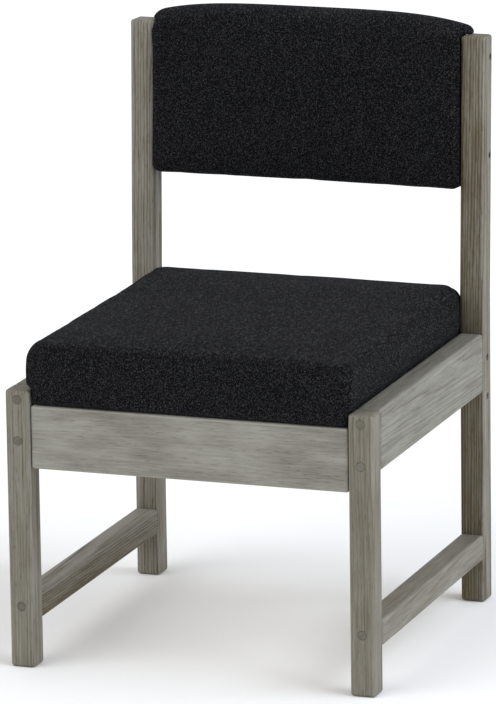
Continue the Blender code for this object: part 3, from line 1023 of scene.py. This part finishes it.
class CHAIR_OT_seat_cushion(bpy.types.Operator):
    """Upholstered seat that lies between the legs and swells over the side rails"""

    bl_idname = "chair.seat_cushion"
    bl_label = "Seat cushion"

    def execute(self, context):
        seat = context.scene.chair_seat
        rest, faces, under = seat_surface(seat)
        piece = new_piece("seat_cushion", rest, faces, chair_fabric(context))
        height = rest[:, 2]
        freedom = step(height, APRON_TOP + 0.004, FRAME_TOP + 0.012)
        points = puff(piece, rest, freedom, seat)
        x, y, z = points.T  # views, which follow each move
        waves = 0.0002 * soft_waves(rest, seed=11)
        z += waves * step(height, FRAME_TOP + 0.03, FRAME_TOP + 0.06)
        at_posts = step(y, POST_FRONT_Y - 0.012, POST_FRONT_Y - 0.0015)
        in_frame = 1 - step(z, FRAME_TOP + SLIT, FRAME_TOP + 0.008)
        overhang = LONGEST_OVERHANG * (1 - np.maximum(at_posts, in_frame))
        reach = LEG_INSIDE - CUSHION_FIT + overhang
        np.clip(x, -reach, reach, out=x)
        within_hem = np.abs(x) < LEG_INSIDE - HEM
        within_hem &= (y > FRONT_Y + HEM) & (y < SEAT_REAR_Y - HEM)
        z += HOLLOW * (under & within_hem)
        set_points(piece, points)
        subdivide(piece)
        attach(piece, "root")
        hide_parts("seat_cover", "seat_foam")
        return {"FINISHED"}


class CHAIR_OT_back_cushion(bpy.types.Operator):
    """Upholstered back between the posts, full in front and flat behind"""

    bl_idname = "chair.back_cushion"
    bl_label = "Back cushion"

    def execute(self, context):
        back = context.scene.chair_back
        rest, faces = back_surface(back)
        piece = new_piece("back_cushion", rest, faces, chair_fabric(context))
        freedom = 1 - step(rest[:, 1], -LEG / 2 + 0.002, LEG / 2 - 0.010)
        points = puff(piece, rest, freedom, back)
        x, y, z = points.T  # views, which follow each move
        waves = 0.0003 * soft_waves(rest, seed=23)
        y += waves * freedom
        beside = step(y, -LEG / 2 - 0.006, -LEG / 2 - 0.0006)
        under_top = POST_TOP - BEND_HEIGHT - z
        rounded = edge_inset(under_top, POST_EDGE, POST_EDGE)
        over_top = np.where(under_top > -SLIT, rounded, LONGEST_OVERHANG)
        overhang = np.maximum(over_top, LONGEST_OVERHANG * (1 - beside))
        reach = LEG_INSIDE - CUSHION_FIT + overhang
        np.clip(x, -reach, reach, out=x)
        lean = Matrix.Translation((0, POST_Y, BEND_HEIGHT)) @ Matrix.Rotation(-LEAN, 4, "X")
        turn, move = np.split(np.array(lean)[:3], [3], axis=1)
        set_points(piece, points @ turn.T + move.T)
        subdivide(piece)
        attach(piece, "root")
        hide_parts("back_cover", "back_foam")
        return {"FINISHED"}


def lay_floor(stage):
    """A wide floor just below the feet: a flat square grid with faint patches."""
    shader = Shader("pale_floor")
    patch = shader.noise(shader.place(), (3.0, 3.0, 3.0), 2.0)
    look = shader.finish(
        {
            "Base Color": shader.mix(0.5 + patch, opaque(stage.floor), opaque(stage.floor, 1.02)),
            "Roughness": 0.9,
            "Specular IOR Level": 0.0,
        }
    )
    lines = np.linspace(-FLOOR_REACH, FLOOR_REACH, FLOOR_LINES)
    across, along = (grid.ravel() for grid in np.meshgrid(lines, lines, indexing="ij"))
    points = np.stack([across, along, np.full(across.shape, -FLOOR_DROP)], axis=-1)
    ids = np.arange(len(points)).reshape(FLOOR_LINES, FLOOR_LINES)
    floor = new_piece("floor", points, quads(ids), look)


def light_studio(stage, scene):
    """Even light from all round, and two wide lights: strength, tint and turn in degrees of each."""
    world = bpy.data.worlds.new("studio")
    world.use_nodes = True
    sky = world.node_tree.nodes["Background"].inputs
    sky["Color"].default_value = (1.0, 1.0, 1.0, 1.0)
    sky["Strength"].default_value = stage.sky
    scene.world = world
    scene.view_settings.view_transform = "Standard"
    suns = {
        "key": (stage.key, (0.84, 0.91, 1.0), (58, 0, 86)),
        "fill": (stage.fill, (1.0, 1.0, 1.0), (55, 0, -36)),
    }
    for name, (strength, tint, turn) in suns.items():
        sun = bpy.data.lights.new(name, "SUN")
        sun.energy = strength
        sun.angle = stage.softness
        sun.color = tint
        lamp = bpy.data.objects.new(name, sun)
        lamp.rotation_euler = [math.radians(angle) for angle in turn]
        scene.collection.objects.link(lamp)


def stand_camera(stage, scene):
    """The photograph's camera. Its turn, tilt and roll are about Z, then X, then its own axis."""
    lens = bpy.data.cameras.new("photograph")
    lens.sensor_width = 36.0
    lens.lens = stage.focal_pixels * lens.sensor_width / max(PHOTO_SIZE)
    lens.clip_start = 0.1
    lens.clip_end = 200.0
    camera = bpy.data.objects.new("photograph", lens)
    turn, tilt, roll = stage.aim
    aim = Matrix.Rotation(turn, 4, "Z") @ Matrix.Rotation(math.pi / 2 - tilt, 4, "X")
    camera.matrix_world = Matrix.Translation(stage.camera) @ aim @ Matrix.Rotation(roll, 4, "Z")
    scene.collection.objects.link(camera)
    scene.camera = camera


class CHAIR_OT_stage(bpy.types.Operator):
    """Pale floor, soft light and the photograph's camera"""

    bl_idname = "chair.stage"
    bl_label = "Stage"

    def execute(self, context):
        stage = context.scene.chair_stage
        lay_floor(stage)
        light_studio(stage, context.scene)
        stand_camera(stage, context.scene)
        return {"FINISHED"}


class CHAIR_PT_panel(bpy.types.Panel):
    """The chair's steps and settings"""

    bl_idname = "CHAIR_PT_panel"
    bl_label = "Dining side chair"
    bl_space_type = "VIEW_3D"
    bl_region_type = "UI"
    bl_category = "Chair"

    def draw(self, context):
        for operator in OPERATORS:
            self.layout.operator(operator.bl_idname)
        for name in SETTINGS:
            box = self.layout.box()
            box.label(text=name.replace("_", " ").capitalize())
            settings = getattr(context.scene, name)
            for field in settings.bl_rna.properties:
                if field.identifier not in ("name", "rna_type"):
                    box.prop(settings, field.identifier)


SETTINGS = {
    "chair_wood": WoodSettings,
    "chair_fabric": FabricSettings,
    "chair_seat": SeatSettings,
    "chair_back": BackSettings,
    "chair_stage": StageSettings,
}
OPERATORS = (
    CHAIR_OT_stage,
    CHAIR_OT_wooden_frame,
    CHAIR_OT_hidden_wood,
    CHAIR_OT_fasteners,
    CHAIR_OT_seat_cushion,
    CHAIR_OT_back_cushion,
)
CLASSES = (*SETTINGS.values(), *OPERATORS, CHAIR_PT_panel)


def register():
    for group in CLASSES:
        bpy.utils.register_class(group)
    for name, group in SETTINGS.items():
        setattr(bpy.types.Scene, name, PointerProperty(type=group))


def unregister():
    for name in SETTINGS:
        delattr(bpy.types.Scene, name)
    for group in reversed(CLASSES):
        bpy.utils.unregister_class(group)


def main():
    """Dresses the loaded frame."""
    for leftover in [obj for obj in bpy.data.objects if obj.type in ("CAMERA", "LIGHT")]:
        bpy.data.objects.remove(leftover)
    register()
    bpy.ops.chair.stage()
    bpy.ops.chair.wooden_frame()
    bpy.ops.chair.hidden_wood()
    bpy.ops.chair.fasteners()
    bpy.ops.chair.seat_cushion()
    bpy.ops.chair.back_cushion()


if __name__ == "__main__":
    main()
